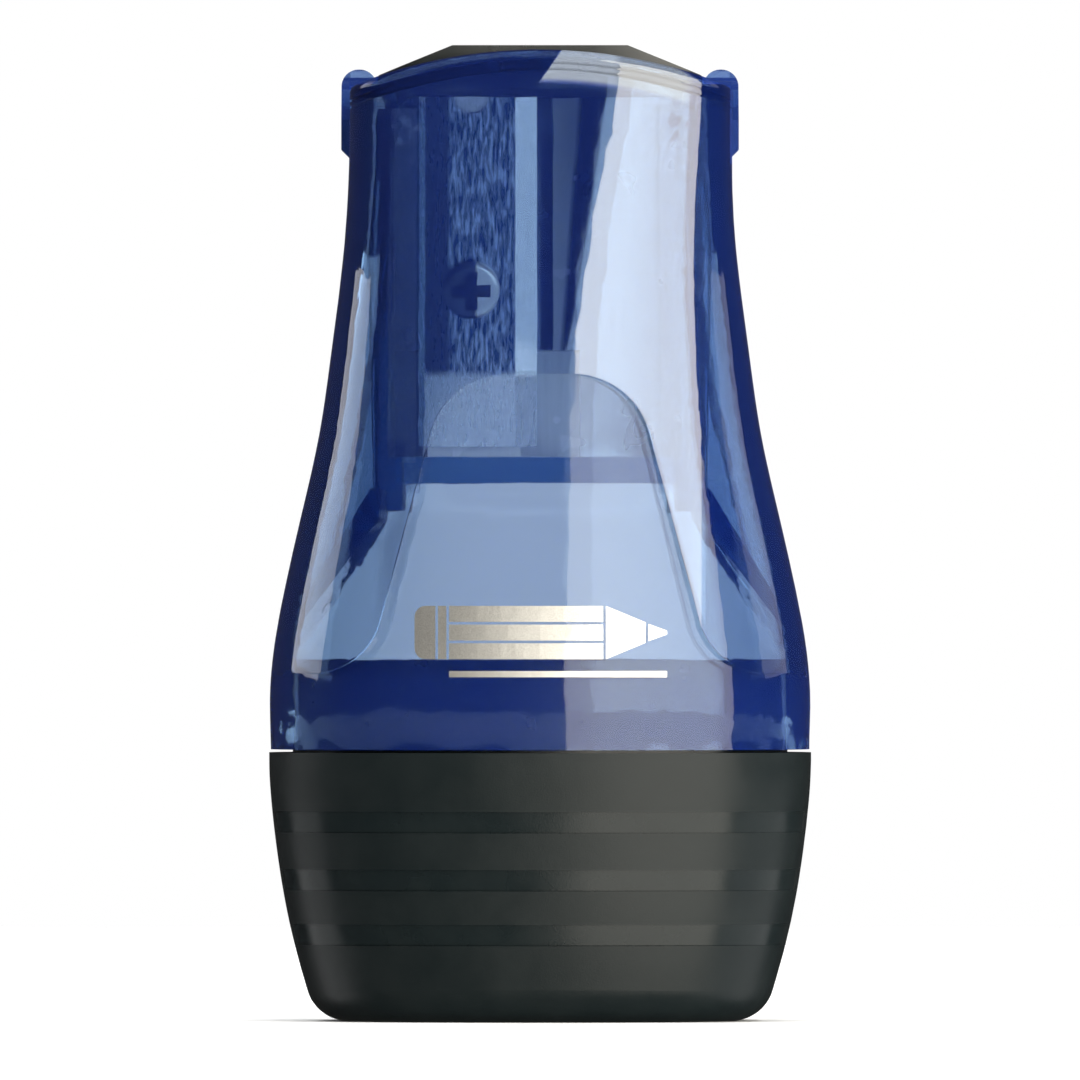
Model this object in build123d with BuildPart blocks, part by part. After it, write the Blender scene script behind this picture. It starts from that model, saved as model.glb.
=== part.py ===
from build123d import *
import math
import os

# A hand-held pencil sharpener with a shavings reservoir, in millimetres.
# Front is -Y, +Z is up, and the origin is the middle of the flat underside.
# A soft grip boot covers a rigid reservoir cup. A see-through upper shell slides over the cup's
# spigot and holds a carrier with the metal sharpener block. A flap on two stub pins closes the
# pencil hole in the arched roof.

# ---- Driving dimensions -------------------------------------------------------------------
depth_ratio = 0.8  # front-to-back size of every cross-section over its width
section_points = 24  # points of the closed curve round one cross-section
far = 90.0  # well outside the object, for cuts that run right through
overlap = 0.5  # how far shapes run into each other before they are joined or cut

# Half-width and squareness exponent of the outside at each height, from the underside up.
base_stations = [
    (0.0, 14.35, 2.4),
    (3.5, 15.35, 2.4),
    (7.5, 16.30, 2.4),
    (11.5, 16.93, 2.4),
    (14.5, 17.25, 2.4),
    (17.6, 17.34, 2.4),
]
upper_stations = [
    (16.0, 17.34, 2.4),
    (20.0, 17.31, 2.4),
    (24.0, 17.03, 2.4),
    (28.0, 16.29, 2.45),
    (32.5, 15.27, 2.55),
    (37.5, 14.16, 2.65),
    (43.0, 13.35, 2.85),
    (48.0, 12.71, 3.2),
    (52.0, 12.35, 3.7),
    (56.0, 12.18, 4.4),
    (60.0, 12.15, 5.1),
    (64.0, 12.15, 5.2),
]

# Grip boot
boot_top = 17.2
boot_wall = 1.15
boot_floor = 1.0
underside_round = 2.7
foot_recess = 0.3
foot_rim = 2.6
band_bottoms = (4.9, 8.4, 12.1)
band_height = 1.35
band_depth = 0.13
band_fade = 0.01  # how deep the bands still are at the sides, where they fade out
band_end = 3.0  # the bands stop this far from the middle of each side

# Reservoir cup and its spigot
fit_gap = 0.05  # between pieces that are pushed together for good
cup_wall = 1.1
cup_floor = 1.2
spigot_top = 23.1
spigot_half_width = 15.9
spigot_half_depth = 12.6
spigot_draft = 0.2  # how much narrower each side of the spigot is at its top
spigot_wall = 1.2
spigot_root = 15.2
spigot_squareness = 2.4
key_half_width = 1.0  # the two keys inside the shell stand in slots in the spigot
key_bottom = 19.3
key_height = 1.7
key_reach = 0.9
key_root = 0.6  # how far the keys are sunk into the shell's wall
key_gap = 0.15

# Upper shell
shell_bottom = 17.4
side_wall = 1.25
panel_wall = 0.9  # the thin bell-shaped panel, front and back
panel_step = 0.45  # how far the surface round the bell panel stands proud of it
panel_end = 3.0  # the thin panels stop this far from the middle of each side
bell_top = 41.4
bell_bottom = 22.3
bell_top_half = 5.98  # corners of the bell's outline before they are rounded
bell_foot_half = 11.06
bell_top_round = 5.1
bell_foot_round = 4.4

# Arched roof, flap pocket and pencil hole
roof_crown = 62.1
roof_radius = 32.7
roof_edge_round = 0.5
groove_tops = (0.75, 1.15)  # two fine grooves round the top, this far below the roof
groove_height = 0.14
groove_depth = 0.12
roof_thickness = 0.75
pocket_depth = 0.6
pocket_half_width = 10.45
pocket_open_y = 2.0  # behind here the pocket is as wide as the flap all the way back
rim_width = 1.05  # of the lip left standing round the pocket
hole_radius = 4.15

# Hinge of the flap
hinge_y = 8.7
hinge_z = 59.4
barrel_radius = 1.3
barrel_gap = 0.2
trough_wall = 0.8
trough_rear_z = 58.3  # the back wall is cut down to here so that the flap can swing
pin_radius = 0.7
pin_gap = 0.06
pin_end = 12.3
ear_inner = 10.5
ear_outer = 12.75
ear_radius = 1.65
ear_foot_z = 55.3
ear_front_y = 2.6
ear_round = 1.1  # of the ears' tops, seen from the front
ear_chamfer = 0.55

# Flap
flap_top = 62.4
flap_flat_half = 5.6
flap_half_width = 10.3
flap_edge_top = 60.5
flap_gap = 0.1
flap_back_angle = 60.0  # degrees round the barrel from the top, where the flap's back leaves it
plug_outer = 3.75
plug_inner = 3.05
plug_depth = 0.65

# Sharpener block and its cone, which narrows downwards
block_half_width = 9.3
block_bottom = 36.1
block_top = 59.15
block_back = 5.3
blank_front = -8.0  # front of the bar that the block is cut from
block_edge = 0.25
block_corner = 1.2  # rounding of the block's two upper corners
cone_mouth = 4.2
cone_overrun = 1.0  # how far the cone's cut runs past the block at each end
seat_tilt = 8.0  # degrees, the cone's half-angle, which the blade's seat follows
seat_end = -1.3  # the seat stops here, short of the cutting edge
face_setback = 2.4  # the face right of the cut starts this far behind the blade's seat
face_turn = 12.0  # degrees that this face turns away towards the right
slot_right = 2.5
slot_top = 42.9
slot_floor_y = 1.95

# Blade and screw
blade_edge_x = -0.2
blade_width = 7.6
blade_length = 22.6
blade_thickness = 0.55
blade_centre = 1.1  # along the seat from the screw up to the middle of the blade
bevel_width = 1.4
bevel_drop = 0.4
heel_bevel = 0.4  # along the blade's other long edge
notch_radius = 1.1
notch_x = -4.4
screw_z = 46.9
shank_radius = 1.2
screw_hole_radius = 1.25
shank_length = 4.2
bore_end_gap = 0.4
head_radius = 1.85
head_height = 1.0
head_round = 0.35
cross_length = 2.5
cross_width = 0.8
cross_depth = 0.6

# Carrier
carrier_gap = 0.15
carrier_outer = 10.5
carrier_wall = 0.95
carrier_top = 58.4
carrier_front = -5.6
shelf_bottom = 34.4
shelf_front = -1.2
rail_inner = 7.95
rail_depth = 0.9
rail_bottom = 33.8
foot_inner = 8.7
wall_foot = 32.6
wing_top = 34.0
wing_slope = 1.77  # how far the wing falls for each step outwards
wing_root = 1.9  # height of the wing's section where it leaves the wall
wing_tip = 0.8  # and at its lower end
wing_bottom = 23.4
fin_places = (-3.2, 4.5)  # two upright fins on each side steady the carrier in the shell
fin_thickness = 1.6
fin_top = 53.8

seat_sin = math.sin(math.radians(seat_tilt))
seat_cos = math.cos(math.radians(seat_tilt))
seat_tan = seat_sin / seat_cos
roof_centre_z = roof_crown - roof_radius


# ---- Shared shapes ------------------------------------------------------------------------
def section_outline(half_width, half_depth, exponent):
    """Points of a superellipse, a rounded shape between an ellipse and a rectangle."""
    power = 2 / exponent
    points = []
    for i in range(section_points):
        turn = 2 * math.pi * i / section_points
        c, s = math.cos(turn), math.sin(turn)
        x = half_width * math.copysign(abs(c) ** power, c)
        y = half_depth * math.copysign(abs(s) ** power, s)
        points.append((x, y))
    return points


def oval_body(stations, side_inset=0.0, front_inset=0.0):
    """A solid through the stations, smaller than the outside by the two insets."""
    with BuildPart() as body:
        for z, half_width, exponent in stations:
            half_depth = half_width * depth_ratio - front_inset
            with BuildSketch(Plane.XY.offset(z)):
                with BuildLine():
                    Spline(
                        *section_outline(half_width - side_inset, half_depth, exponent),
                        periodic=True,
                    )
                make_face()
        loft()
    return body.part


def oval_spigot(inset):
    """The tapering oval tube that the upper shell slides over, smaller by the inset."""
    stations = ((spigot_root - overlap, 0.0), (spigot_top + overlap, spigot_draft))
    with BuildPart() as tube:
        for z, draft in stations:
            half_width = spigot_half_width - draft - inset
            half_depth = spigot_half_depth - draft - inset
            with BuildSketch(Plane.XY.offset(z)):
                with BuildLine():
                    outline = section_outline(half_width, half_depth, spigot_squareness)
                    Spline(*outline, periodic=True)
                make_face()
        loft()
    return tube.part


def slab(x_low, x_high, y_low, y_high, z_low, z_high):
    """A box given by its lowest and highest corners."""
    with BuildPart() as box:
        with Locations(((x_low + x_high) / 2, (y_low + y_high) / 2, (z_low + z_high) / 2)):
            Box(x_high - x_low, y_high - y_low, z_high - z_low)
    return box.part


def layer(z_low, z_high):
    """Everything between two heights."""
    return slab(-far, far, -far, far, z_low, z_high)


def under_arch(radius):
    """Everything below an arch across the width, concentric with the roof."""
    with BuildPart() as arch:
        with BuildSketch(Plane.XZ):
            with Locations((0, roof_centre_z)):
                Circle(radius)
            with Locations((0, roof_centre_z - radius)):
                Rectangle(2 * far, 2 * radius)
        extrude(amount=far, both=True)
    return arch.part


def cross_bar(radius, half_length):
    """A round bar along the flap's hinge axis."""
    with BuildPart() as bar:
        with BuildSketch(Plane.YZ):
            with Locations((hinge_y, hinge_z)):
                Circle(radius)
        extrude(amount=half_length, both=True)
    return bar.part


def upright(radius, z_low, z_high):
    """A round bar along the pencil's axis."""
    with BuildPart() as bar:
        with BuildSketch(Plane.XY.offset(z_low)):
            Circle(radius)
        extrude(amount=z_high - z_low)
    return bar.part


def side_profile(points, x_low, x_high, turn=0.0):
    """A solid with the given outline in Y and Z, between two places across the width.

    A turn, in degrees, makes it run towards the back as it goes right.
    """
    slant = math.radians(turn)
    with BuildPart() as solid:
        with BuildSketch(Plane.YZ.offset(x_low)):
            with BuildLine():
                Polyline(*points, close=True)
            make_face()
        run = (x_high - x_low) / math.cos(slant)
        extrude(amount=run, dir=(math.cos(slant), math.sin(slant), 0))
    return solid.part


def front_profile(points, reach):
    """A solid with the given outline in X and Z, reaching as far to the front as to the back."""
    with BuildPart() as solid:
        with BuildSketch(Plane.XZ):
            with BuildLine():
                Polyline(*points, close=True)
            make_face()
        extrude(amount=reach, both=True)
    return solid.part


def cone_radius(z):
    """The radius of the pencil's cone at a height."""
    return cone_mouth - (block_top - z) * seat_tan


def ahead_of_cone(z_low, z_high, setback, reach, x_low, x_high, turn=0.0):
    """A plate that follows the cone's front, from the setback to the reach in front of it."""
    points = [
        (-cone_radius(z_low) + setback, z_low),
        (-cone_radius(z_high) + setback, z_high),
        (-cone_radius(z_high) - reach, z_high),
        (-cone_radius(z_low) - reach, z_low),
    ]
    return side_profile(points, x_low, x_high, turn)


def save(piece, name):
    """Labels a finished piece and writes it to its own file."""
    piece.label = name
    export_step(piece, f"parts/{name}.step")


os.makedirs("parts", exist_ok=True)

# ---- Grip boot ----------------------------------------------------------------------------
boot_outside = oval_body(base_stations) & layer(0, boot_top)
boot_inside = oval_body(base_stations, boot_wall, boot_wall) & layer(boot_floor, far)
band_floor = oval_body(base_stations, band_fade, band_depth)
bands = []
for bottom in band_bottoms:
    for y_low, y_high in ((-far, -band_end), (band_end, far)):
        bands.append(slab(-far, far, y_low, y_high, bottom, bottom + band_height) - band_floor)

with BuildPart() as grip_boot:
    add(boot_outside)
    underside = grip_boot.faces().sort_by(Axis.Z)[0]
    fillet(underside.edges(), radius=underside_round)
    add(bands, mode=Mode.SUBTRACT)
    add(boot_inside, mode=Mode.SUBTRACT)
    with BuildSketch(Plane.XY):
        foot_half = base_stations[0][1] - underside_round - foot_rim
        Ellipse(foot_half, foot_half * depth_ratio)
    extrude(amount=foot_recess, mode=Mode.SUBTRACT)
save(grip_boot.part, "grip_boot")

# ---- Reservoir cup ------------------------------------------------------------------------
cup_inset = boot_wall + fit_gap
cup_bottom = boot_floor + fit_gap
cup_outside = oval_body(base_stations, cup_inset, cup_inset) & layer(cup_bottom, boot_top)
cup_hollow = oval_body(base_stations, cup_inset + cup_wall, cup_inset + cup_wall)
cup_hollow = cup_hollow & layer(cup_bottom + cup_floor, spigot_root + overlap)
spigot = oval_spigot(0) & layer(spigot_root, spigot_top)
spigot_hollow = oval_spigot(spigot_wall) & layer(spigot_root, far)
slot_half_width = key_half_width + key_gap
key_slots = slab(-far, far, -slot_half_width, slot_half_width, key_bottom - key_gap, far)

with BuildPart() as reservoir_cup:
    add(cup_outside)
    add(spigot)
    add(cup_hollow, mode=Mode.SUBTRACT)
    add(spigot_hollow, mode=Mode.SUBTRACT)
    add(key_slots, mode=Mode.SUBTRACT)
save(reservoir_cup.part, "reservoir_cup")

# ---- Upper shell --------------------------------------------------------------------------
with BuildPart() as below_bell:
    with BuildSketch(Plane.XZ):
        with BuildLine():
            bell = FilletPolyline(
                (-far, bell_bottom),
                (-bell_foot_half, bell_bottom),
                (-bell_top_half, bell_top),
                (bell_top_half, bell_top),
                (bell_foot_half, bell_bottom),
                (far, bell_bottom),
                radius=[bell_foot_round, bell_top_round, bell_top_round, bell_foot_round],
            )
            Polyline(bell @ 1, (far, 0), (-far, 0), bell @ 0)
        make_face()
    extrude(amount=far, both=True)

with BuildPart() as ears:
    for side in (-1, 1):
        inner_face = min(side * ear_inner, side * ear_outer)
        with BuildSketch(Plane.YZ.offset(inner_face)):
            with BuildLine():
                Polyline(
                    (ear_front_y, ear_foot_z),
                    (hinge_y + ear_radius, ear_foot_z),
                    (hinge_y + ear_radius, hinge_z),
                    (hinge_y, hinge_z + ear_radius),
                    (ear_front_y, hinge_z - ear_radius),
                    close=True,
                )
            make_face()
            with Locations((hinge_y, hinge_z)):
                Circle(ear_radius)
        extrude(amount=ear_outer - ear_inner)
    ear_top = hinge_z + ear_radius
    with BuildSketch(Plane.XZ) as ear_outline:
        for side in (-1, 1):
            with BuildLine():
                FilletPolyline(
                    (side * ear_inner, ear_foot_z),
                    (side * ear_inner, ear_top),
                    (side * ear_outer, ear_top),
                    (side * ear_outer, ear_foot_z + ear_chamfer),
                    radius=ear_round,
                )
                Polyline(
                    (side * ear_outer, ear_foot_z + ear_chamfer),
                    (side * (ear_outer - ear_chamfer), ear_foot_z),
                    (side * ear_inner, ear_foot_z),
                )
            make_face()
    extrude(amount=far, both=True, mode=Mode.INTERSECT)

outside = oval_body(upper_stations, front_inset=-panel_step) & layer(shell_bottom, far)
outside = outside & under_arch(roof_radius)
panels = below_bell.part - slab(-far, far, -panel_end, panel_end, 0, far)
panels = panels - oval_body(upper_stations)
trough = cross_bar(barrel_radius + barrel_gap + trough_wall, far)
cavity = oval_body(upper_stations, side_wall, panel_wall)
cavity = cavity & under_arch(roof_radius - pocket_depth - roof_thickness)
cavity = cavity - trough
pocket = oval_body(upper_stations, rim_width, rim_width) - under_arch(roof_radius - pocket_depth)
pocket = pocket & slab(-pocket_half_width, pocket_half_width, -far, far, roof_centre_z, far)
rear_pocket = slab(
    -pocket_half_width, pocket_half_width, pocket_open_y, far, roof_centre_z, far
) - under_arch(roof_radius - pocket_depth)
swing = slab(
    -pocket_half_width,
    pocket_half_width,
    hinge_y - barrel_radius - barrel_gap,
    far,
    hinge_z,
    far,
)
rear_cut = slab(-pocket_half_width, pocket_half_width, hinge_y, far, trough_rear_z, far)
groove = cross_bar(barrel_radius + barrel_gap, pocket_half_width)
pin_holes = cross_bar(pin_radius + pin_gap, far)
pencil_hole = upright(hole_radius, block_top, far)
grooves = []
for top in groove_tops:
    ring = under_arch(roof_radius - top) - under_arch(roof_radius - top - groove_height)
    grooves.append(ring - oval_body(upper_stations, groove_depth, groove_depth - panel_step))
key_top = key_bottom + key_height
inside_half = upper_stations[1][1] - side_wall
keys = []
for side in (-1, 1):
    x_low, x_high = sorted((side * (inside_half - key_reach), side * (inside_half + key_root)))
    keys.append(slab(x_low, x_high, -key_half_width, key_half_width, key_bottom, key_top))

with BuildPart() as upper_shell:
    add(outside)
    roof = upper_shell.faces().sort_by(Axis.Z)[-1]
    fillet(roof.edges(), radius=roof_edge_round)
    add(panels, mode=Mode.SUBTRACT)
    add(grooves, mode=Mode.SUBTRACT)
    add(ears.part)
    add(cavity, mode=Mode.SUBTRACT)
    add(pocket, mode=Mode.SUBTRACT)
    add(rear_pocket, mode=Mode.SUBTRACT)
    add(swing, mode=Mode.SUBTRACT)
    add(rear_cut, mode=Mode.SUBTRACT)
    add(groove, mode=Mode.SUBTRACT)
    add(pin_holes, mode=Mode.SUBTRACT)
    add(pencil_hole, mode=Mode.SUBTRACT)
    add(keys)
save(upper_shell.part, "upper_shell")

# ---- Flap ---------------------------------------------------------------------------------
back_turn = math.radians(flap_back_angle)
back_y = hinge_y + barrel_radius * math.sin(back_turn)
back_z = hinge_z + barrel_radius * math.cos(back_turn)
back_run = (flap_top - back_z) / math.sin(back_turn)
web_front = hinge_y - barrel_radius
web = side_profile(
    [
        (web_front, hinge_z),
        (web_front, flap_top),
        (back_y - back_run * math.cos(back_turn), flap_top),
        (back_y, back_z),
        (hinge_y, hinge_z),
    ],
    -flap_half_width,
    flap_half_width,
)
hipped = front_profile(
    [
        (-flap_half_width, 0),
        (flap_half_width, 0),
        (flap_half_width, flap_edge_top),
        (flap_flat_half, flap_top),
        (-flap_flat_half, flap_top),
        (-flap_half_width, flap_edge_top),
    ],
    far,
)
plate = oval_body(upper_stations, rim_width + flap_gap, rim_width + flap_gap)
rear_plate = slab(
    -flap_half_width, flap_half_width, pocket_open_y + flap_gap, web_front, roof_centre_z, far
)
above_floor = layer(0, far) - under_arch(roof_radius - pocket_depth + flap_gap)
plate = plate & slab(-far, far, -far, web_front, roof_centre_z, far) & above_floor
rear_plate = rear_plate & above_floor
plug = upright(plug_outer, roof_crown - pocket_depth - plug_depth, roof_crown)
plug = plug - upright(plug_inner, 0, far)

with BuildPart() as flap:
    add(plate)
    add(rear_plate)
    add(web)
    add(hipped, mode=Mode.INTERSECT)
    add(plug)
    add(cross_bar(barrel_radius, flap_half_width))
    add(cross_bar(pin_radius, pin_end))
save(flap.part, "flap")

# ---- Sharpener block ----------------------------------------------------------------------
seat_front = ahead_of_cone(0, far, 0, far, -far, seat_end)
face_front = ahead_of_cone(0, far, face_setback, far, seat_end, far, face_turn)
blank = slab(
    -block_half_width, block_half_width, blank_front, block_back, block_bottom, block_top
)
tip_slot = slab(seat_end, slot_right, -far, slot_floor_y, 0, slot_top)
with BuildPart() as cone:
    cone_low = block_bottom - cone_overrun
    cone_high = block_top + cone_overrun
    with Locations((0, 0, (cone_low + cone_high) / 2)):
        Cone(cone_radius(cone_low), cone_radius(cone_high), cone_high - cone_low)
seat_plane = Plane(
    origin=(notch_x, -cone_radius(screw_z), screw_z),
    x_dir=(1, 0, 0),
    z_dir=(0, -seat_cos, -seat_sin),
)
with BuildPart() as screw_bore:
    with BuildSketch(seat_plane):
        Circle(screw_hole_radius)
    extrude(amount=-shank_length - bore_end_gap)

with BuildPart() as sharpener_block:
    add(blank)
    add(seat_front, mode=Mode.SUBTRACT)
    add(face_front, mode=Mode.SUBTRACT)
    top_edges = sharpener_block.edges().filter_by(Axis.Y).group_by(Axis.Z)[-1]
    top_edges = top_edges.sort_by(Axis.X)
    fillet([top_edges[0], top_edges[-1]], radius=block_corner)
    upright_edges = sharpener_block.edges().filter_by(Axis.Z).sort_by(Axis.Y)[-2:]
    chamfer(upright_edges, length=block_edge)
    add(cone.part, mode=Mode.SUBTRACT)
    add(tip_slot, mode=Mode.SUBTRACT)
    add(screw_bore.part, mode=Mode.SUBTRACT)
save(sharpener_block.part, "sharpener_block")

# ---- Blade --------------------------------------------------------------------------------
blade_plane = seat_plane.offset(fit_gap)
forwards = Axis(blade_plane.origin, blade_plane.z_dir)
half_length = blade_length / 2
edge_from_screw = blade_edge_x - notch_x
back_from_screw = edge_from_screw - blade_width
with BuildPart() as blade:
    with BuildSketch(blade_plane):
        with Locations(((edge_from_screw + back_from_screw) / 2, blade_centre)):
            Rectangle(blade_width, blade_length)
        with Locations((0, blade_centre + half_length)):
            Circle(notch_radius, mode=Mode.SUBTRACT)
        Circle(screw_hole_radius, mode=Mode.SUBTRACT)
    extrude(amount=blade_thickness)
    front_face = blade.faces().sort_by(forwards)[-1]
    cutting_edge = front_face.edges().sort_by(Axis.X)[-1]
    chamfer(cutting_edge, length=bevel_width, length2=bevel_drop, reference=front_face)
    front_face = blade.faces().sort_by(forwards)[-1]
    heel_edge = front_face.edges().sort_by(Axis.X)[0]
    chamfer(heel_edge, length=heel_bevel)
save(blade.part, "blade")

# ---- Blade screw --------------------------------------------------------------------------
head_plane = blade_plane.offset(blade_thickness + fit_gap / 2)
with BuildPart() as blade_screw:
    with BuildSketch(head_plane):
        Circle(head_radius)
    extrude(amount=head_height)
    head_top = blade_screw.faces().sort_by(forwards)[-1]
    fillet(head_top.edges(), radius=head_round)
    with BuildSketch(head_plane.offset(head_height)):
        Rectangle(cross_length, cross_width)
        Rectangle(cross_width, cross_length)
    extrude(amount=-cross_depth, mode=Mode.SUBTRACT)
    with BuildSketch(head_plane):
        Circle(shank_radius)
    extrude(amount=-shank_length)
save(blade_screw.part, "blade_screw")

# ---- Carrier ------------------------------------------------------------------------------
fits_in_shell = oval_body(upper_stations, side_wall + carrier_gap, panel_wall + carrier_gap)
carrier_inner = carrier_outer - carrier_wall
back_inner = block_back + fit_gap
back_outer = back_inner + carrier_wall
shelf_top = block_bottom - fit_gap
face_turn_slope = math.tan(math.radians(face_turn))
face_setback_at_rail = face_setback + (rail_inner - seat_end) * face_turn_slope
walls = []
feet = []
rails = []
wings = []
fins = []
for side in (-1, 1):
    wall_low, wall_high = sorted((side * carrier_inner, side * carrier_outer))
    walls.append(slab(wall_low, wall_high, carrier_front, back_outer, wall_foot, carrier_top))
    foot_low, foot_high = sorted((side * foot_inner, side * carrier_outer))
    feet.append(slab(foot_low, foot_high, carrier_front, back_outer, wall_foot, shelf_top))
    rail_low, rail_high = sorted((side * rail_inner, side * (carrier_inner + overlap)))
    setback = -fit_gap if side < 0 else face_setback_at_rail - fit_gap
    reach = rail_depth - setback
    rails.append(
        ahead_of_cone(rail_bottom, carrier_top, setback, reach, rail_low, rail_high)
    )
    wing_out = carrier_outer + (wing_top - wing_bottom) / wing_slope
    wings.append(
        front_profile(
            [
                (side * (carrier_outer - overlap), wing_top),
                (side * carrier_outer, wing_top),
                (side * wing_out, wing_bottom),
                (side * (wing_out - wing_tip / wing_slope), wing_bottom),
                (side * (carrier_outer - overlap), wing_top - wing_root),
            ],
            far,
        )
        & fits_in_shell
    )
    above_wing = front_profile(
        [
            (side * (carrier_outer - overlap), wing_top - overlap),
            (side * carrier_outer, wing_top - overlap),
            (side * wing_out, wing_bottom - overlap),
            (side * far, wing_bottom - overlap),
            (side * far, fin_top),
            (side * (carrier_outer - overlap), fin_top),
        ],
        far,
    )
    for place in fin_places:
        y_low, y_high = place - fin_thickness / 2, place + fin_thickness / 2
        fins.append(slab(-far, far, y_low, y_high, wing_bottom, far) & above_wing & fits_in_shell)

with BuildPart() as carrier:
    add(walls)
    add(feet)
    add(slab(-carrier_outer, carrier_outer, back_inner, back_outer, shelf_bottom, carrier_top))
    add(slab(-carrier_outer, carrier_outer, shelf_front, back_outer, shelf_bottom, shelf_top))
    add(rails)
    add(wings)
    add(fins)
    add(fits_in_shell, mode=Mode.INTERSECT)
save(carrier.part, "carrier")
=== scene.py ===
import math

import bmesh
import bpy
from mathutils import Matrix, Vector
from mathutils.bvhtree import BVHTree


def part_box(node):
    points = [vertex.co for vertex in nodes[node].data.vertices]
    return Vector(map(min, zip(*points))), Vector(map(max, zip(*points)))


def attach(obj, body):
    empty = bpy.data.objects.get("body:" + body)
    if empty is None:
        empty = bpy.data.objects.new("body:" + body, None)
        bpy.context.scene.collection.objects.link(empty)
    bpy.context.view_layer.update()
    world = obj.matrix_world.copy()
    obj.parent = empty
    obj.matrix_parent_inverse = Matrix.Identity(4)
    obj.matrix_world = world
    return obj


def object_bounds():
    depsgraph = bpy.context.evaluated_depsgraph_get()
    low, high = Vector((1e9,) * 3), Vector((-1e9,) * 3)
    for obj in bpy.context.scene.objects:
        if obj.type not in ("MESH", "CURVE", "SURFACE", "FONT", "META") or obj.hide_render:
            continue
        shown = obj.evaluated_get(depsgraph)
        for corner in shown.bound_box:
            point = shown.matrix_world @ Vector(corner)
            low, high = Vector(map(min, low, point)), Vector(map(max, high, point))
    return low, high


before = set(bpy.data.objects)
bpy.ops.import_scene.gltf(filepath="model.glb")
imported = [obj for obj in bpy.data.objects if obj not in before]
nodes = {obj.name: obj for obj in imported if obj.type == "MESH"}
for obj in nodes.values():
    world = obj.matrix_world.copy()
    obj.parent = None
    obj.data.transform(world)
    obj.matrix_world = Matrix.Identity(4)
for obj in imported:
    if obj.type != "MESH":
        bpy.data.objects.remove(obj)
cad_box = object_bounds()
MM = 0.001


# ---- Small helpers for node materials ------------------------------------------------------
class Tree:
    """A new material's node tree, with short calls for adding and linking nodes."""

    def __init__(self, name):
        self.material = bpy.data.materials.new(name)
        self.material.use_nodes = True
        self.nodes = self.material.node_tree.nodes
        self.links = self.material.node_tree.links
        self.nodes.clear()
        self.output = self.nodes.new("ShaderNodeOutputMaterial")

    def add(self, kind, **settings):
        """Adds a node. Settings that name an input set its value, or link it to a socket."""
        node = self.nodes.new("ShaderNode" + kind)
        for key, value in settings.items():
            if hasattr(node, key):
                setattr(node, key, value)
                continue
            socket = node.inputs[key.replace("_", " ")]
            if isinstance(value, bpy.types.NodeSocket):
                self.links.new(value, socket)
            else:
                socket.default_value = value
        return node

    def surface(self, socket):
        """Makes this shader the material's surface."""
        self.links.new(socket, self.output.inputs["Surface"])

    def place(self, scale=(1, 1, 1)):
        """The point in the object's own frame, in millimetres, stretched by the scale."""
        coords = self.add("TexCoord")
        mapping = self.add("Mapping", Vector=coords.outputs["Object"])
        mapping.inputs["Scale"].default_value = [s / MM for s in scale]
        return mapping.outputs["Vector"]

    def noise(self, where, scale, detail, roughness=0.55):
        """A noise value from 0 to 1, with the scale in repeats per millimetre."""
        node = self.add("TexNoise", Vector=where, Scale=scale, Detail=detail, Roughness=roughness)
        return node.outputs["Fac"]

    def spread(self, value, low, high, start=0.3, stop=0.7):
        """Maps a value from start..stop to low..high."""
        node = self.add("MapRange", Value=value)
        for key, number in zip(("From Min", "From Max", "To Min", "To Max"), (start, stop, low, high)):
            node.inputs[key].default_value = number
        return node.outputs["Result"]

    def blend(self, factor, first, second):
        """Mixes two colours by a factor."""
        node = self.add("Mix", data_type="RGBA", blend_type="MIX")
        self.links.new(factor, node.inputs["Factor"])
        for socket, colour in zip((node.inputs["A"], node.inputs["B"]), (first, second)):
            self.set_colour(socket, colour)
        return next(o for o in node.outputs if o.type == "RGBA" and o.enabled)

    def maths(self, operation, *values):
        """One Math node on sockets or numbers."""
        node = self.add("Math", operation=operation)
        for socket, value in zip(node.inputs, values):
            if isinstance(value, bpy.types.NodeSocket):
                self.links.new(value, socket)
            else:
                socket.default_value = value
        return node.outputs[0]

    def distance(self, across, up):
        """How far a point at these two coordinates is from their origin."""
        squares = self.maths("MULTIPLY", across, across), self.maths("MULTIPLY", up, up)
        return self.maths("SQRT", self.maths("ADD", *squares))

    def axes(self):
        """The point's X, Y and Z in the object's own frame, in millimetres."""
        return self.add("SeparateXYZ", Vector=self.place()).outputs

    def above(self, value, edge, soft=0.1):
        """0 where the value is below the edge and 1 where it is above, with a soft step."""
        return self.spread(value, 0.0, 1.0, edge - soft / 2, edge + soft / 2)

    def below(self, value, edge, soft=0.1):
        """1 where the value is below the edge and 0 where it is above, with a soft step."""
        return self.maths("SUBTRACT", 1.0, self.above(value, edge, soft))

    def set_colour(self, socket, colour):
        """Sets or links a colour, picking the right socket of a Mix node."""
        same = [s for s in socket.node.inputs if s.name == socket.name and s.type == "RGBA"]
        socket = same[0] if same else socket
        if isinstance(colour, bpy.types.NodeSocket):
            self.links.new(colour, socket)
        else:
            socket.default_value = (*colour, 1)

    def bump(self, height, distance, strength):
        """A bump from a height of 0 to 1, as deep as the distance in millimetres."""
        node = self.add("Bump", Height=height, Distance=distance * MM, Strength=strength)
        return node.outputs["Normal"]


def principled(tree, **settings):
    """Adds a Principled shader with these inputs."""
    shader = tree.add("BsdfPrincipled")
    for key, value in settings.items():
        socket = shader.inputs[key.replace("_", " ")]
        if isinstance(value, bpy.types.NodeSocket):
            tree.links.new(value, socket)
        elif isinstance(value, tuple) and len(value) == 3:
            socket.default_value = (*value, 1)
        else:
            socket.default_value = value
    return shader


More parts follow.
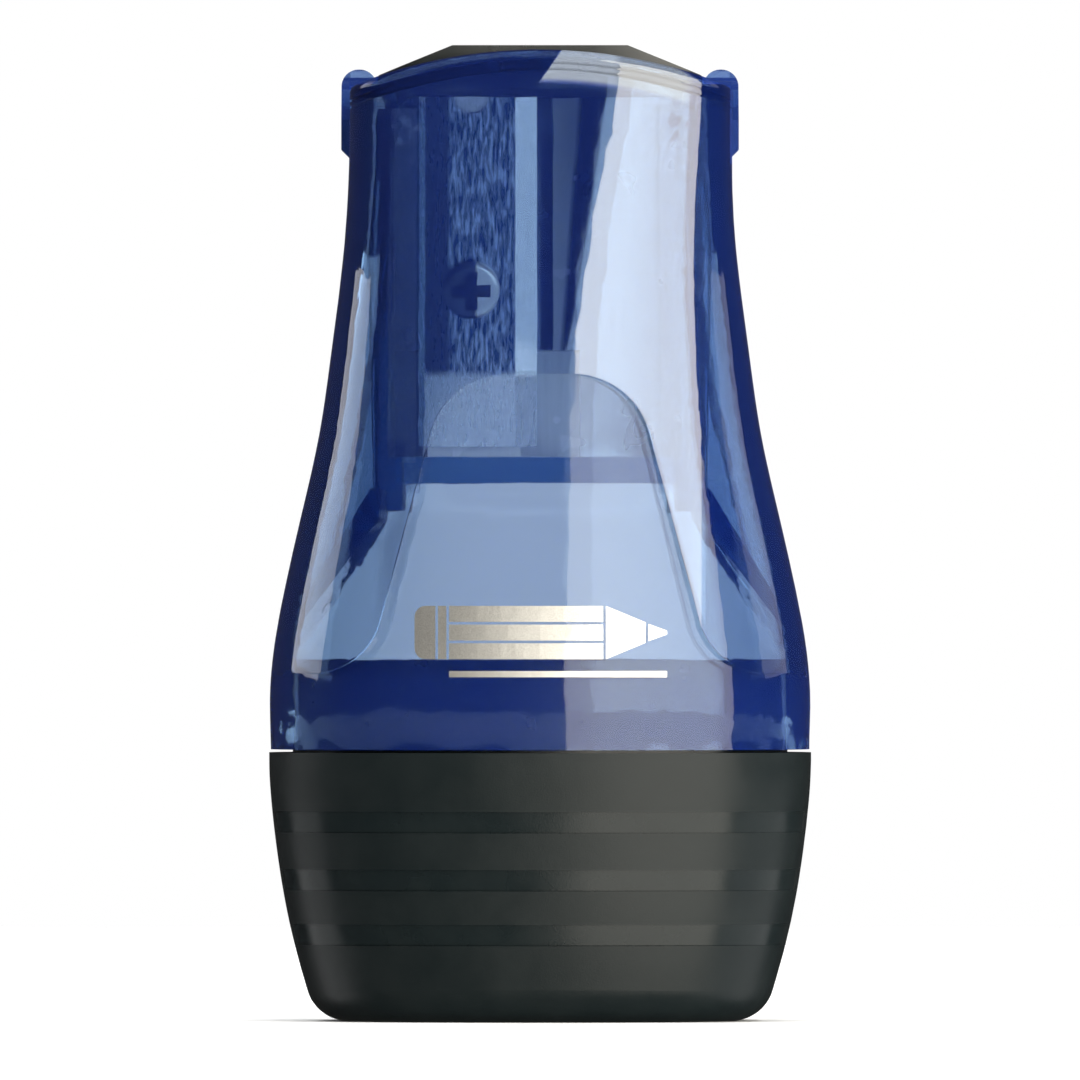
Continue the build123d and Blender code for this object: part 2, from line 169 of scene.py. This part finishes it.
# ---- Materials -----------------------------------------------------------------------------
# Places on the pieces that a material changes at, in millimetres.
band_bottoms = (4.9, 8.4, 12.1)  # the smooth bands round the boot
band_height = 1.35
band_shine = 0.16  # how much less rough the bands are
bell_top = 41.4  # the bell-shaped window in the shell
bell_bottom = 22.3
bell_top_half = 5.98
bell_foot_half = 11.06
bell_round = 5.1
polished_half = 10.3  # the raised front is polished this far out from the middle
ear_start = 12.2  # the hinge ears are farther out than this, above their bottom
ear_bottom = 54.9
ear_inner = 10.4  # and their tips farther out than this, above the lip's end
lip_end = 59.95
roof_centre = 29.4  # of the arch of the roof's front edge
roof_radius = 32.7
lip_height = 2.0  # the band under that edge, where a pale reflection is painted
lip_front = 9.4  # it is in front of this
lip_slant = 0.7  # its left end leans by this much across for each millimetre up
lip_fade = 5.0  # left of here the painted reflection is stronger than on the right
lip_reflection_left = 0.45
lip_reflection_right = 0.2
foot_haze = 0.02
least_haze = 0.05
most_haze = 0.6
cone_mouth = 4.2  # radius
cone_half_angle = 8.0  # degrees, which the blade and its screw lean by too
stripe_left = 0.8  # in the cone a lit stripe is painted from here to a line that leans to the right, with painted shade on both sides
stripe_right = 1.45
stripe_slope = 0.075
slot_top = 42.9
painted_light_right = 2.6  # below the slot's top the block is painted pale as light, from its left side to here
painted_shade_end = -6.5  # left of here the block is painted dark as shade
painted_shade_foot = 37.2  # down to here
painted_shade_start = -7.4  # and below that, the dark ends at this place
shaded_heel_width = 1.95  # the blade's strip along its back edge that is painted dark as shade
heel_bevel = 0.4
edge_bevel = 1.4
edge_shine = 0.12  # how much less rough the ground edge is
screw_shade_edge = 0.3  # the screw is bright from this far right of its middle, and painted dark as shade left of it
cross_depth = 0.25  # its cross, painted dark as shade, is deeper than this and reaches this far from its middle
cross_reach = 1.4


def soft_grip():
    """Dark soft-touch rubber with a fine moulded grain."""
    t = Tree("soft_grip")
    where = t.place()
    cloud = t.noise(where, 0.35, 3.0)
    grain = t.noise(where, 9.0, 3.0, 0.6)
    colour = t.blend(t.spread(cloud, 0.0, 1.0), (0.0045, 0.0072, 0.0080), (0.0065, 0.0095, 0.0102))
    bump = t.bump(grain, 0.012, 0.5)
    z = t.axes()[2]
    polished = 0.0
    for bottom in band_bottoms:
        over = t.above(z, bottom)
        under = t.below(z, bottom + band_height)
        polished = t.maths("MULTIPLY_ADD", over, under, polished)
    rough = t.maths("MULTIPLY_ADD", polished, -band_shine, t.spread(cloud, 0.32, 0.37))
    shader = principled(
        t, Base_Color=colour, Roughness=rough, Normal=bump, Specular_IOR_Level=0.27
    )
    t.surface(shader.outputs[0])
    return t.material


def cup_plastic():
    """The rigid dark plastic of the cup."""
    t = Tree("cup_plastic")
    where = t.place()
    cloud = t.noise(where, 0.5, 3.0)
    colour = t.blend(t.spread(cloud, 0.0, 1.0), (0.003, 0.005, 0.006), (0.005, 0.008, 0.009))
    bump = t.bump(t.noise(where, 6.0, 2.0), 0.008, 0.4)
    shader = principled(
        t, Base_Color=colour, Roughness=t.spread(cloud, 0.2, 0.28), Normal=bump,
        Specular_IOR_Level=0.5,
    )
    t.surface(shader.outputs[0])
    return t.material


def outside_bell(t):
    """1 on the raised front round the bell-shaped window, and 0 everywhere else."""
    x, _, z = t.axes()
    across = t.maths("ABSOLUTE", x)
    lean = math.atan2(bell_foot_half - bell_top_half, bell_top - bell_bottom)
    round_z = bell_top - bell_round
    round_x = bell_top_half + bell_round * math.tan(lean) - bell_round / math.cos(lean)
    side = t.maths("MULTIPLY_ADD", z, math.tan(lean), -bell_top * math.tan(lean) - bell_top_half)
    past_side = t.maths("ADD", across, side)
    right = t.maths("MAXIMUM", t.maths("SUBTRACT", across, round_x), 0.0)
    up = t.maths("SUBTRACT", z, round_z)
    past_round = t.maths("SUBTRACT", t.distance(right, up), bell_round)
    at_top = t.maths("GREATER_THAN", z, round_z + bell_round * math.sin(lean))
    past_top = t.maths("MULTIPLY", t.above(past_round, 0.0), at_top)
    at_flank = t.maths("SUBTRACT", 1.0, at_top)
    past_flank = t.maths("MULTIPLY", t.above(past_side, 0.0), at_flank)
    past = t.maths("ADD", past_top, past_flank)
    past = t.maths("MULTIPLY", past, t.above(z, bell_bottom))
    return t.maths("MULTIPLY", past, t.below(across, polished_half))


def in_lip(t, x, y, z):
    """1 on the band under the arched roof's front edge, where a pale reflection is painted."""
    up = t.maths("SUBTRACT", z, roof_centre)
    bottom = roof_radius - lip_height
    near_edge = t.above(t.distance(x, up), bottom, 0.4)
    slant = t.maths("MULTIPLY_ADD", up, -lip_slant, lip_slant * bottom)
    past_end = t.above(t.maths("ADD", x, slant), 0.0)
    in_band = t.maths("MULTIPLY", near_edge, past_end)
    return t.maths("MULTIPLY", in_band, t.below(y, -lip_front, 0.3))


def in_ears(t, x, z):
    """1 on the two hinge ears."""
    across = t.maths("ABSOLUTE", x)
    ears = t.maths("MULTIPLY", t.above(across, ear_start), t.above(z, ear_bottom))
    tips = t.maths("MULTIPLY", t.above(across, ear_inner), t.above(z, lip_end))
    return t.maths("MAXIMUM", ears, tips)


def tinted_plastic(name, density, gloss=None):
    """Clear blue plastic that darkens with its thickness and has a faint blue haze, with a pale
    reflection painted on the band under the roof's front edge.

    gloss makes the mask for a shinier coat.
    """
    t = Tree(name)
    ripple = t.noise(t.place(), 0.25, 2.0)
    bump = t.bump(ripple, 0.01, 0.35)
    glass = principled(
        t, Base_Color=(1.0, 1.0, 1.0), Roughness=0.03, IOR=1.5, Transmission_Weight=1.0,
        Normal=bump,
    )
    if gloss is not None:
        t.links.new(gloss(t), glass.inputs["Coat Weight"])
        glass.inputs["Coat IOR"].default_value = 1.85
    x, y, z = t.axes()
    ears = in_ears(t, x, z)
    lip = in_lip(t, x, y, z)
    diffuse_colour = t.blend(ears, (0.016, 0.08, 0.7), (0.012, 0.03, 0.16))
    # painted reflection: the band under the roof's front edge gets a pale hazy colour, stronger on its
    # left part
    diffuse_colour = t.blend(lip, diffuse_colour, (0.4, 0.47, 0.6))
    diffuse_layer = principled(t, Base_Color=diffuse_colour, Roughness=0.5, Specular_IOR_Level=0.1)
    reflection_strength = t.spread(x, lip_reflection_left, lip_reflection_right, lip_fade - 0.3, lip_fade + 0.3)
    foot = t.below(z, bell_bottom, 1.0)
    diffuse_amount = t.maths("MAXIMUM", ears, t.maths("MULTIPLY", lip, reflection_strength))
    diffuse_amount = t.maths("MAXIMUM", diffuse_amount, t.maths("MULTIPLY", foot, foot_haze))
    mix = t.add("MixShader", Fac=t.spread(diffuse_amount, least_haze, most_haze, 0.0, 1.0))
    t.links.new(glass.outputs[0], mix.inputs[1])
    t.links.new(diffuse_layer.outputs[0], mix.inputs[2])
    t.surface(mix.outputs[0])
    inside = t.add("VolumeAbsorption", Color=(0.06, 0.33, 0.55, 1), Density=density)
    t.links.new(inside.outputs[0], t.output.inputs["Volume"])
    return t.material


def block_metal():
    """A light die-cast block with milling streaks, painted light and shade in the cone, painted light
    on its foot and painted shade on its left flank.
    """
    t = Tree("block_metal")
    x, y, z = t.axes()
    streaks = t.noise(t.place((1, 1, 0.06)), 3.0, 5.0, 0.65)
    cloud = t.noise(t.place(), 0.4, 2.0)
    metal = t.blend(t.spread(streaks, 0.0, 1.0), (0.34, 0.36, 0.39), (0.5, 0.52, 0.55))
    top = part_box("sharpener_block")[1].z / MM
    half_angle = math.radians(cone_half_angle)
    radius = t.maths("MULTIPLY_ADD", z, math.tan(half_angle), cone_mouth - top * math.tan(half_angle))
    in_cone = t.below(t.maths("SUBTRACT", t.distance(x, y), radius), 0.1)
    # painted shade in the cone, darker right of the stripe, with a pale painted lit stripe between
    past_left = t.above(x, stripe_left, 0.1)
    cone_light_and_shade = t.blend(past_left, (0.1, 0.13, 0.2), (0.03, 0.035, 0.045))
    right = t.maths("MULTIPLY_ADD", z, stripe_slope, stripe_right - slot_top * stripe_slope)
    painted_lit_stripe = t.maths("MULTIPLY", past_left, t.below(t.maths("SUBTRACT", x, right), 0.0, 0.5))
    cone_light_and_shade = t.blend(painted_lit_stripe, cone_light_and_shade, (0.85, 0.88, 0.92))
    colour = t.blend(in_cone, metal, cone_light_and_shade)
    # painted light: below the slot's top the left part of the block is pale and matt
    not_foot = t.maths("MAXIMUM", t.above(z, slot_top, 0.2), t.above(x, painted_light_right))
    painted_light_foot = t.blend(t.spread(streaks, 0.0, 1.0), (0.6, 0.63, 0.68), (0.7, 0.73, 0.78))
    colour = t.blend(not_foot, painted_light_foot, colour)
    # painted shade on the block's left flank
    low_edge = t.maths("SUBTRACT", t.above(x, painted_shade_start), t.above(z, painted_shade_foot))
    past_flank = t.maths("MAXIMUM", t.above(x, painted_shade_end, 0.2), low_edge)
    colour = t.blend(past_flank, (0.04, 0.05, 0.09), colour)
    bump = t.bump(streaks, 0.006, 0.6)
    rough = t.spread(cloud, 0.2, 0.28)
    at_foot = t.maths("SUBTRACT", 1.0, not_foot)
    matt = t.maths("MAXIMUM", t.maths("MULTIPLY", in_cone, painted_lit_stripe), at_foot)
    shine = t.spread(matt, 1.0, 0.1, 0.0, 1.0)
    shader = principled(t, Base_Color=colour, Metallic=shine, Roughness=rough, Normal=bump)
    t.surface(shader.outputs[0])
    return t.material


def blade_steel():
    """Steel brushed along its length, with a bright ground edge, painted shade along its back and
    painted light below the bell's top.
    """
    t = Tree("blade_steel")
    x, _, z = t.axes()
    low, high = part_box("blade")
    strokes = t.noise(t.place((1, 1, 0.1)), 5.0, 2.5, 0.6)
    fine = t.noise(t.place((1, 1, 0.05)), 9.0, 3.0, 0.6)
    brushed = t.blend(t.spread(strokes, 0.0, 1.0, 0.42, 0.64), (0.03, 0.055, 0.11), (0.36, 0.44, 0.56))
    ground = t.blend(t.spread(fine, 0.0, 1.0), (0.86, 0.88, 0.9), (0.98, 0.985, 0.99))
    # painted shade on a strip along the blade's back edge
    past_shaded_heel = t.above(x, low.x / MM + shaded_heel_width, 0.2)
    body = t.blend(past_shaded_heel, (0.03, 0.042, 0.075), brushed)
    near_back = t.above(x, low.x / MM + heel_bevel, 0.08)
    body = t.blend(near_back, (0.5, 0.55, 0.62), body)
    in_edge = t.above(x, high.x / MM - edge_bevel, 0.08)
    colour = t.blend(in_edge, body, ground)
    # painted light: below the bell's top the blade is an even pale grey
    painted_light_foot = t.blend(t.spread(fine, 0.0, 1.0), (0.36, 0.4, 0.46), (0.45, 0.49, 0.55))
    painted_light_foot = t.blend(in_edge, painted_light_foot, (0.3, 0.33, 0.37))
    past_bell = t.above(z, bell_top, 0.5)
    colour = t.blend(past_bell, painted_light_foot, colour)
    bump = t.bump(strokes, 0.012, 0.6)
    sharp = t.maths("MULTIPLY", in_edge, past_bell)
    rough = t.maths("MULTIPLY_ADD", sharp, -edge_shine, t.spread(strokes, 0.3, 0.2))
    shader = principled(t, Base_Color=colour, Metallic=1.0, Roughness=rough, Normal=bump)
    t.surface(shader.outputs[0])
    return t.material


def screw_steel():
    """The screw's steel, bright on the right, with painted shade on the left and in its cross."""
    t = Tree("screw_steel")
    x, y, z = t.axes()
    low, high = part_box("blade_screw")
    tilt = math.radians(cone_half_angle)
    centre_x = (low.x + high.x) / 2 / MM
    head_radius = (high.x - low.x) / 2 / MM
    centre_z = low.z / MM + head_radius * math.cos(tilt)
    cloud = t.noise(t.place(), 1.2, 3.0)
    bright = t.blend(t.spread(cloud, 0.0, 1.0), (0.72, 0.73, 0.75), (0.92, 0.93, 0.95))
    # painted shade on the left part of the screw head
    screw_shade = t.blend(t.spread(cloud, 0.0, 1.0), (0.03, 0.04, 0.06), (0.07, 0.085, 0.12))
    on_right = t.above(x, centre_x + screw_shade_edge, 0.2)
    colour = t.blend(on_right, screw_shade, bright)
    # painted shade in the screw's cross recess
    ahead = t.maths("MULTIPLY_ADD", z, -math.sin(tilt), t.maths("MULTIPLY", y, -math.cos(tilt)))
    front = -low.y / MM * math.cos(tilt) - centre_z * math.sin(tilt)
    sunk = t.below(ahead, front - cross_depth)
    off_axis = t.distance(t.maths("SUBTRACT", x, centre_x), t.maths("SUBTRACT", z, centre_z))
    in_shaded_cross = t.maths("MULTIPLY", sunk, t.below(off_axis, cross_reach))
    colour = t.blend(in_shaded_cross, colour, (0.01, 0.012, 0.018))
    bump = t.bump(t.noise(t.place(), 14.0, 2.0), 0.004, 0.4)
    shader = principled(
        t, Base_Color=colour, Metallic=t.spread(on_right, 1.0, 0.3, 0.0, 1.0),
        Roughness=t.spread(cloud, 0.16, 0.26), Normal=bump,
    )
    t.surface(shader.outputs[0])
    return t.material


def flap_plastic():
    """Satin dark plastic."""
    t = Tree("flap_plastic")
    where = t.place()
    cloud = t.noise(where, 0.4, 3.0)
    colour = t.blend(t.spread(cloud, 0.0, 1.0), (0.014, 0.016, 0.016), (0.02, 0.022, 0.022))
    bump = t.bump(t.noise(where, 8.0, 3.0), 0.01, 0.4)
    shader = principled(
        t, Base_Color=colour, Roughness=t.spread(cloud, 0.27, 0.31), Normal=bump,
        Specular_IOR_Level=0.6,
    )
    t.surface(shader.outputs[0])
    return t.material


def silver_ink():
    """Silver pad-printing ink."""
    t = Tree("silver_ink")
    flakes = t.noise(t.place(), 12.0, 3.0, 0.6)
    colour = t.blend(t.spread(flakes, 0.0, 1.0), (0.6, 0.59, 0.56), (0.8, 0.79, 0.76))
    bump = t.bump(flakes, 0.004, 0.4)
    rough = t.spread(flakes, 0.3, 0.42)
    shader = principled(t, Base_Color=colour, Metallic=0.9, Roughness=rough, Normal=bump)
    t.surface(shader.outputs[0])
    return t.material


def give(node, material):
    """Puts one material on a CAD node."""
    slots = nodes[node].material_slots
    for slot in slots:
        slot.material = material
    if not slots:
        nodes[node].data.materials.append(material)


give("grip_boot", soft_grip())
give("reservoir_cup", cup_plastic())
give("upper_shell", tinted_plastic("shell_plastic", 620.0, outside_bell))
give("carrier", tinted_plastic("carrier_plastic", 330.0))
give("sharpener_block", block_metal())
give("blade", blade_steel())
give("blade_screw", screw_steel())
give("flap", flap_plastic())


# ---- The printed mark: a pencil and the line that it draws ---------------------------------
mark_z = 24.9  # height of the pencil's middle
mark_lift = 0.015  # of the ink off the plastic
ray_start = -50  # in front of the shell
ink_thickness = 0.01
mark_mesh = 0.5  # size of the pieces that let the ink follow the curved shell


def bar(left, right, low, high):
    """A rectangle's corners."""
    return [(left, low), (right, low), (right, high), (left, high)]


def mark_outlines():
    """The shapes in the mark, in millimetres round the pencil's middle."""
    half, rib, gap = 1.7, 0.68, 0.17
    eraser, ferrule, body, shoulder, lead, tip = -8.0, -6.5, -5.8, 4.2, 6.9, 8.1
    corner = 0.7
    wood_half, lead_half, tip_half = 0.65, 0.55, 0.12
    line_bottom, line_top = -2.85, -2.45
    rounded = [
        (eraser + corner - corner * math.sin(a), side * (half - corner + corner * math.cos(a)))
        for side, turns in ((1, range(0, 91, 15)), (-1, range(90, -1, -15)))
        for a in map(math.radians, turns)
    ]
    return [
        rounded + [(ferrule - gap, -half), (ferrule - gap, half)],
        bar(ferrule, body - gap, -half, half),
        bar(body, shoulder - gap, rib, half),
        bar(body, shoulder - gap, gap - rib, rib - gap),
        bar(body, shoulder - gap, -half, -rib),
        [(shoulder, -half), (lead - gap, -wood_half), (lead - gap, wood_half), (shoulder, half)],
        [(lead, -lead_half), (tip, -tip_half), (tip, tip_half), (lead, lead_half)],
        bar(body, tip, line_bottom, line_top),
    ]


def make_mark():
    """Lays the mark on the front of the shell."""
    ink = bmesh.new()
    for outline in mark_outlines():
        ink.faces.new([ink.verts.new((x, 0, mark_z + z)) for x, z in outline])
    for normal, middle, cuts in (((1, 0, 0), 0.0, 17), ((0, 0, 1), mark_z, 6)):
        for i in range(-cuts, cuts + 1):
            place = [n * (middle + i * mark_mesh) for n in normal]
            parts = ink.verts[:] + ink.edges[:] + ink.faces[:]
            bmesh.ops.bisect_plane(ink, geom=parts, plane_co=place, plane_no=normal)
    skin = nodes["upper_shell"].data
    shell = BVHTree.FromPolygons([v.co for v in skin.vertices], [p.vertices for p in skin.polygons])
    for vert in ink.verts:
        start = Vector((vert.co.x, ray_start, vert.co.z)) * MM
        hit = shell.ray_cast(start, Vector((0, 1, 0)))[0]
        vert.co = hit - Vector((0, mark_lift * MM, 0))
    mesh = bpy.data.meshes.new("printed_mark")
    ink.to_mesh(mesh)
    ink.free()
    mark = bpy.data.objects.new("printed_mark", mesh)
    bpy.context.collection.objects.link(mark)
    solid = mark.modifiers.new("ink", "SOLIDIFY")
    solid.thickness = ink_thickness * MM
    mesh.materials.append(silver_ink())
    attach(mark, "upper")


make_mark()


# ---- Floor, light and camera ---------------------------------------------------------------
low, high = cad_box
centre = (low + high) / 2
frame_side = 69.2 * MM
frame_middle = Vector((0, 0, 30.8 * MM))
room_light = 0.03
light_distance = 1.0


def make_floor():
    """A plain pale floor."""
    mesh = bpy.data.meshes.new("floor")
    reach = 0.6
    corners = [(-reach, -reach, 0), (reach, -reach, 0), (reach, reach, 0), (-reach, reach, 0)]
    mesh.from_pydata(corners, [], [(0, 1, 2, 3)])
    floor = bpy.data.objects.new("floor", mesh)
    bpy.context.collection.objects.link(floor)
    t = Tree("floor_paint")
    shader = principled(t, Base_Color=(0.86, 0.86, 0.86), Roughness=0.7)
    t.surface(shader.outputs[0])
    mesh.materials.append(t.material)
    floor.visible_glossy = False
    floor.visible_shadow = False


def softbox(name, azimuth, elevation, width, height, radiance, mirrored=True, warmth=0.0):
    """An area light that faces the object. Azimuth 0 is in front, and 90 to the right."""
    data = bpy.data.lights.new(name, "AREA")
    data.shape = "RECTANGLE"
    data.size, data.size_y = width, height
    data.energy = radiance * math.pi * width * height
    data.color = (1, 1 - warmth / 3, 1 - warmth)
    light = bpy.data.objects.new(name, data)
    light.visible_glossy = mirrored
    a, e = math.radians(azimuth), math.radians(elevation)
    out = Vector((math.sin(a) * math.cos(e), -math.cos(a) * math.cos(e), math.sin(e)))
    light.location = centre + out * light_distance
    light.rotation_mode = "QUATERNION"
    light.rotation_quaternion = out.to_track_quat("Z", "Y")
    bpy.context.collection.objects.link(light)


def make_world():
    """White where it is seen directly or through clear plastic, and dim after any bounce."""
    world = bpy.data.worlds.new("studio")
    world.use_nodes = True
    tree = world.node_tree
    background = tree.nodes["Background"]
    background.inputs["Color"].default_value = (1, 1, 1, 1)
    rays = tree.nodes.new("ShaderNodeLightPath")
    bounces = tree.nodes.new("ShaderNodeMath")
    bounces.operation = "ADD"
    tree.links.new(rays.outputs["Diffuse Depth"], bounces.inputs[0])
    tree.links.new(rays.outputs["Glossy Depth"], bounces.inputs[1])
    strength = tree.nodes.new("ShaderNodeMapRange")
    strength.inputs["To Min"].default_value = 1.0
    strength.inputs["To Max"].default_value = room_light
    tree.links.new(bounces.outputs[0], strength.inputs["Value"])
    tree.links.new(strength.outputs[0], background.inputs["Strength"])
    bpy.context.scene.world = world


def make_camera():
    """A long lens, level with the middle of the picture."""
    data = bpy.data.cameras.new("camera")
    distance = 2.5
    data.sensor_width = 36
    data.lens = data.sensor_width * distance / frame_side
    data.clip_start, data.clip_end = 0.1, 10
    camera = bpy.data.objects.new("camera", data)
    camera.location = frame_middle + Vector((0, -distance, 0))
    camera.rotation_euler = (math.radians(90), 0, 0)
    bpy.context.collection.objects.link(camera)
    bpy.context.scene.camera = camera


make_floor()
make_world()
softbox("right_softbox", 37, 0, 1.3, 1.15, 3.6, warmth=0.16)
softbox("right_fill", 42, 0, 1.2, 1.15, 4.5, mirrored=False, warmth=0.13)
softbox("left_softbox", -111, 17, 0.61, 0.46, 2.6)
softbox("left_low_softbox", -111, -21, 0.61, 0.5, 0.9)
softbox("rim_softbox", 111, 17, 0.5, 0.46, 1.0)
softbox("rim_low_softbox", 100, -21, 0.9, 0.5, 0.9)
softbox("top_softbox", 0, 90, 1.3, 1.3, 5.0, mirrored=False)
make_camera()
bpy.context.scene.view_settings.view_transform = "Standard"
